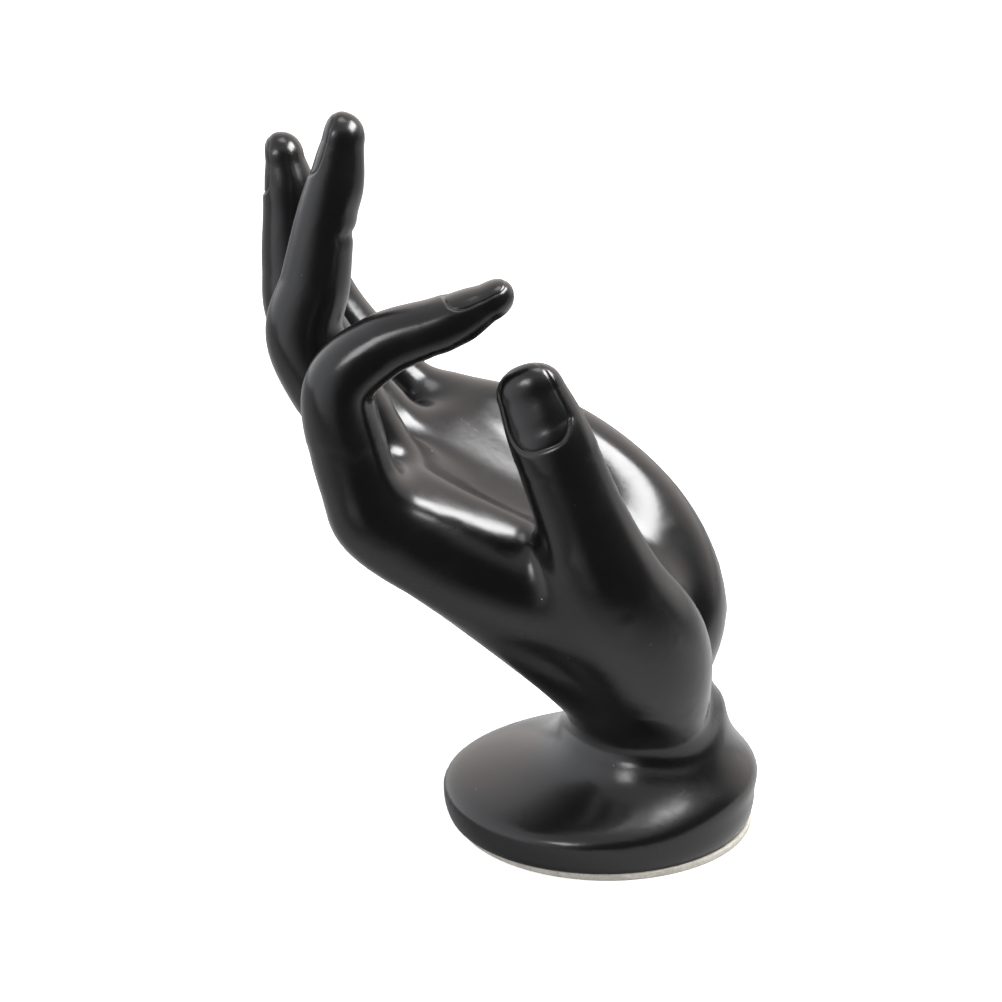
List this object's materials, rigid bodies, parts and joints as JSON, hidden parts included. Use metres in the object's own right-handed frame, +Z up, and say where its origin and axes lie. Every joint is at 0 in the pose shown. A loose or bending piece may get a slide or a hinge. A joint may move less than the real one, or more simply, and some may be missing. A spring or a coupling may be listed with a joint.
{
  "type": "ring display hand",
  "caption": "Life-size open left hand in black lacquered resin on a flared round foot, with half-curled fingers to hang rings and chains on.",
  "frame": {"origin": "centre of the pad's underside, on the table, below the centre of the round foot", "axes": "+Z up, +X from the fingertips towards the heel of the hand, +Y from the thumb towards the little finger"},
  "size_m": [0.1094, 0.0801, 0.1618],
  "materials": {
    "black_lacquer": "satin-gloss black lacquer over cast resin",
    "plaster": "raw poured plaster",
    "greyboard": "raw grey board",
    "felt": "pale warm grey pressed felt"
  },
  "bodies": {
    "root": {"hand_casting": "black_lacquer", "ballast_plug": "plaster", "closing_board": "greyboard", "base_pad": "felt"}
  },
  "joints": []
}
